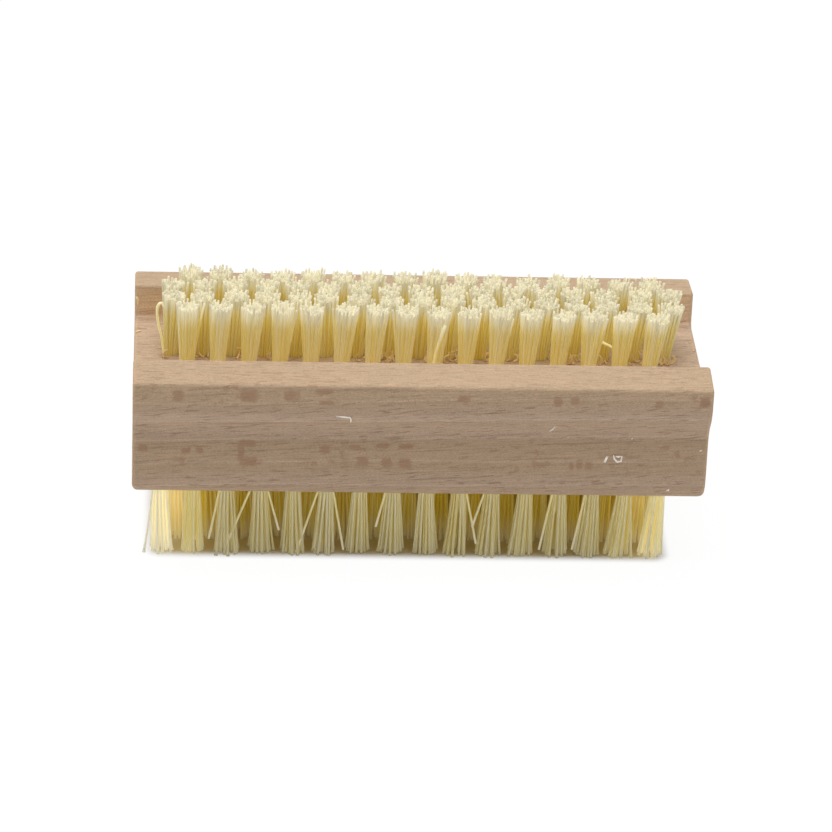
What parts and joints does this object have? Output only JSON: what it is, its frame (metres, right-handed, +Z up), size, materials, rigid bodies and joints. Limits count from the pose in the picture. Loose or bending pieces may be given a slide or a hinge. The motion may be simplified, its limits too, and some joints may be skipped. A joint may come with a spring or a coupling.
{
  "type": "nail brush",
  "caption": "Double-sided wooden nail brush: a winged block with a channel between two rails, and staggered rows of cream filament tufts anchored in both faces.",
  "frame": {"origin": "middle of the plane of the lower bristle tips, which the brush stands on", "axes": "+X along the block, -Y towards the front rail, +Z up, out of the channel"},
  "size_m": [0.095, 0.0444, 0.0413],
  "materials": {
    "beech": "sanded, unvarnished beech",
    "filament": "cream translucent filament, cut square at the tips",
    "anchor_wire": "flat anchor wire, cut to length"
  },
  "bodies": {
    "root": {"brush_body": "beech", "top_tuft_row_1": "filament", "top_tuft_row_2": "filament", "top_tuft_row_3": "filament", "top_tuft_row_4": "filament", "bottom_tuft_row_1": "filament", "bottom_tuft_row_2": "filament", "bottom_tuft_row_3": "filament", "bottom_tuft_row_4": "filament", "bottom_tuft_row_5": "filament", "top_anchor_row_1": "anchor_wire", "top_anchor_row_2": "anchor_wire", "top_anchor_row_3": "anchor_wire", "top_anchor_row_4": "anchor_wire", "bottom_anchor_row_1": "anchor_wire", "bottom_anchor_row_2": "anchor_wire", "bottom_anchor_row_3": "anchor_wire", "bottom_anchor_row_4": "anchor_wire", "bottom_anchor_row_5": "anchor_wire"}
  },
  "joints": []
}
